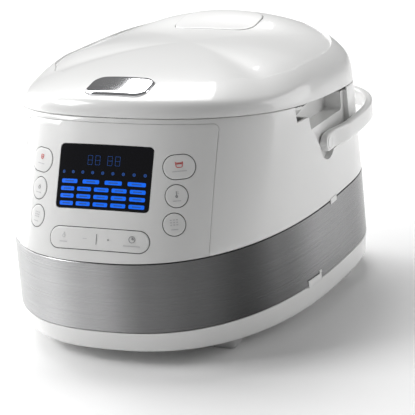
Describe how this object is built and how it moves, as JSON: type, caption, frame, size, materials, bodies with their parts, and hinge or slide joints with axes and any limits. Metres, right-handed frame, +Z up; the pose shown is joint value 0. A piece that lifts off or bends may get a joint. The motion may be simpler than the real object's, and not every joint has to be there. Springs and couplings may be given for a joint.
{
  "type": "rice cooker",
  "caption": "White multicooker style rice cooker with a hinged lid, a swinging carry handle, a sloping key panel with a display, and a brushed steel band round a removable pot.",
  "frame": {"origin": "on the floor, below the middle of the whole outline", "axes": "+Z up; the key panel faces -Y and the hinge and carry handle are at +Y; X runs across the front"},
  "size_m": [0.3036, 0.3806, 0.2456],
  "materials": {
    "gloss_white_plastic": "glossy moulded white",
    "grey_plastic": "light grey, matt",
    "black_gloss": "glossy black",
    "black_plastic": "black, satin",
    "brushed_steel": "horizontal brushed grain",
    "plain_steel": "plain, satin",
    "chrome": "mirror chrome",
    "aluminium": "satin",
    "cast_aluminium": "cast, slightly rough",
    "pot_coating": "dark non-stick coating on aluminium",
    "silicone": "translucent white silicone",
    "heater_band_mica": "mica wrap",
    "circuit_board": "green solder mask"
  },
  "bodies": {
    "body": {"base_screw_1": "plain_steel", "base_screw_2": "plain_steel", "base_screw_3": "plain_steel", "base_screw_4": "plain_steel", "base_tray": "gloss_white_plastic", "control_board": "circuit_board", "control_fascia": "gloss_white_plastic", "display_module": "black_plastic", "display_window": "black_gloss", "front_left_foot": "grey_plastic", "front_right_foot": "grey_plastic", "heater_element": "plain_steel", "heater_plate": "cast_aluminium", "hinge_bracket": "plain_steel", "hinge_pin": "plain_steel", "hinge_spring": "plain_steel", "inlet_contacts": "plain_steel", "inner_pot": "pot_coating", "latch_catch": "plain_steel", "left_handle_pin": "plain_steel", "pot_well": "plain_steel", "power_board": "circuit_board", "power_inlet": "black_plastic", "rear_left_foot": "grey_plastic", "rear_right_foot": "grey_plastic", "right_handle_pin": "plain_steel", "side_heater_band": "heater_band_mica", "steel_band": "brushed_steel", "thermal_fuse": "plain_steel", "thermostat_sleeve": "plain_steel", "thermostat_spring": "plain_steel", "top_collar": "gloss_white_plastic", "upper_housing": "gloss_white_plastic"},
    "lid": {"lid_shell": "gloss_white_plastic", "lid_liner": "gloss_white_plastic", "inner_lid_plate": "aluminium", "pot_seal": "silicone", "steam_valve": "gloss_white_plastic", "lid_hinge_arm": "plain_steel", "latch_pin": "plain_steel", "latch_spring": "plain_steel"},
    "release_button": {"release_button": "chrome"},
    "latch": {"latch_hook": "black_plastic"},
    "steam_cap": {"vent_cap": "gloss_white_plastic"},
    "handle": {"carry_handle": "gloss_white_plastic"},
    "thermostat": {"thermostat_cap": "plain_steel"},
    "left_upper_key": {"left_upper_key": "gloss_white_plastic"},
    "left_middle_key": {"left_middle_key": "gloss_white_plastic"},
    "left_lower_key": {"left_lower_key": "gloss_white_plastic"},
    "right_upper_key": {"right_upper_key": "gloss_white_plastic"},
    "right_middle_key": {"right_middle_key": "gloss_white_plastic"},
    "right_lower_key": {"right_lower_key": "gloss_white_plastic"},
    "timer_bar_key": {"timer_bar_key": "gloss_white_plastic"}
  },
  "joints": [
    {"name": "lid_hinge", "type": "hinge", "parent": "body", "child": "lid", "pos_m": [0, 0.1608, 0.181], "axis": [-1, 0, 0], "range_deg": [0, 85], "deforming": ["hinge_spring"]},
    {"name": "handle_swing", "type": "hinge", "parent": "body", "child": "handle", "pos_m": [0, 0.012, 0.153], "axis": [1, 0, 0], "range_deg": [0, 90]},
    {"name": "release_press", "type": "slide", "parent": "lid", "child": "release_button", "axis": [0, 0.1903, -0.9817], "range_m": [0, 0.003], "stiffness_N_per_m": 300, "springref_m": -0.002},
    {"name": "latch_turn", "type": "hinge", "parent": "lid", "child": "latch", "pos_m": [0, -0.123, 0.217], "axis": [1, 0, 0], "range_deg": [0, 12], "stiffness_Nm_per_rad": 0.02, "deforming": ["latch_spring"]},
    {"name": "vent_lift", "type": "slide", "parent": "lid", "child": "steam_cap", "axis": [0, 0, 1], "range_m": [0, 0.03]},
    {"name": "thermostat_press", "type": "slide", "parent": "body", "child": "thermostat", "axis": [0, 0, 1], "range_m": [-0.003, 0], "stiffness_N_per_m": 200, "springref_m": 0.003, "deforming": ["thermostat_spring"]},
    {"name": "left_upper_key_press", "type": "slide", "parent": "body", "child": "left_upper_key", "axis": [0.4127, 0.832, -0.3707], "range_m": [0, 0.0008], "stiffness_N_per_m": 500, "springref_m": -0.0006},
    {"name": "left_middle_key_press", "type": "slide", "parent": "body", "child": "left_middle_key", "axis": [0.4191, 0.8333, -0.3606], "range_m": [0, 0.0008], "stiffness_N_per_m": 500, "springref_m": -0.0006},
    {"name": "left_lower_key_press", "type": "slide", "parent": "body", "child": "left_lower_key", "axis": [0.4304, 0.8323, -0.3493], "range_m": [0, 0.0008], "stiffness_N_per_m": 500, "springref_m": -0.0006},
    {"name": "right_upper_key_press", "type": "slide", "parent": "body", "child": "right_upper_key", "axis": [-0.4127, 0.832, -0.3707], "range_m": [0, 0.0008], "stiffness_N_per_m": 500, "springref_m": -0.0006},
    {"name": "right_middle_key_press", "type": "slide", "parent": "body", "child": "right_middle_key", "axis": [-0.4191, 0.8333, -0.3606], "range_m": [0, 0.0008], "stiffness_N_per_m": 500, "springref_m": -0.0006},
    {"name": "right_lower_key_press", "type": "slide", "parent": "body", "child": "right_lower_key", "axis": [-0.4304, 0.8323, -0.3493], "range_m": [0, 0.0008], "stiffness_N_per_m": 500, "springref_m": -0.0006},
    {"name": "timer_bar_key_press", "type": "slide", "parent": "body", "child": "timer_bar_key", "axis": [0, 0.9153, -0.4027], "range_m": [0, 0.0008], "stiffness_N_per_m": 500, "springref_m": -0.0006}
  ],
  "couplings": [
    {"joint": "latch_turn", "follows": "release_press", "rad_per_m": 69}
  ]
}
